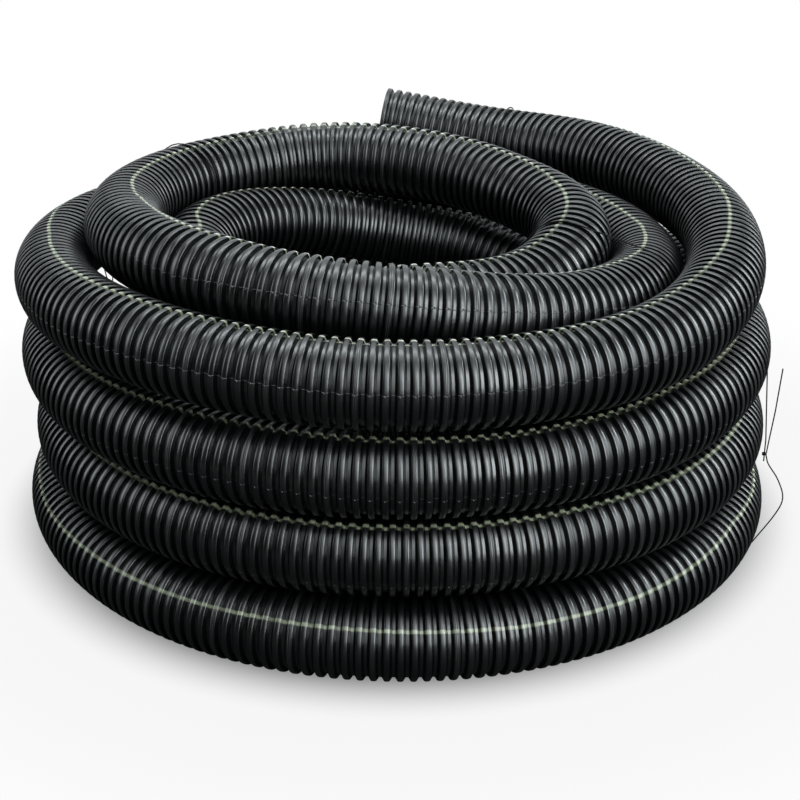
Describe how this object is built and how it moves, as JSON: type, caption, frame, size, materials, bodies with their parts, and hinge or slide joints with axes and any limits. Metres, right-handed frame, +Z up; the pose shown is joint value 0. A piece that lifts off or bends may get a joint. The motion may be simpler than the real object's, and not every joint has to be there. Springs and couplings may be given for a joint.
{
  "type": "coil of corrugated drainage pipe",
  "caption": "Coil of black corrugated plastic drainage pipe, open at both ends, held together with thin plastic strands, with its free end lying on top.",
  "frame": {"origin": "on the floor under the middle of the coil's bounding box", "axes": "+Z up, the coil's free end lies on top at the +Y side and opens towards -X"},
  "size_m": [1.1648, 1.2478, 0.5641],
  "materials": {
    "pipe_plastic": "satin black polyethylene",
    "strand_right_plastic": "dull black polypropylene",
    "strand_far_plastic": "dull black polypropylene",
    "strand_left_plastic": "dull black polypropylene"
  },
  "bodies": {
    "root": {"drain_pipe": "pipe_plastic", "strand_right": "strand_right_plastic", "strand_far": "strand_far_plastic", "strand_left": "strand_left_plastic"}
  },
  "joints": []
}
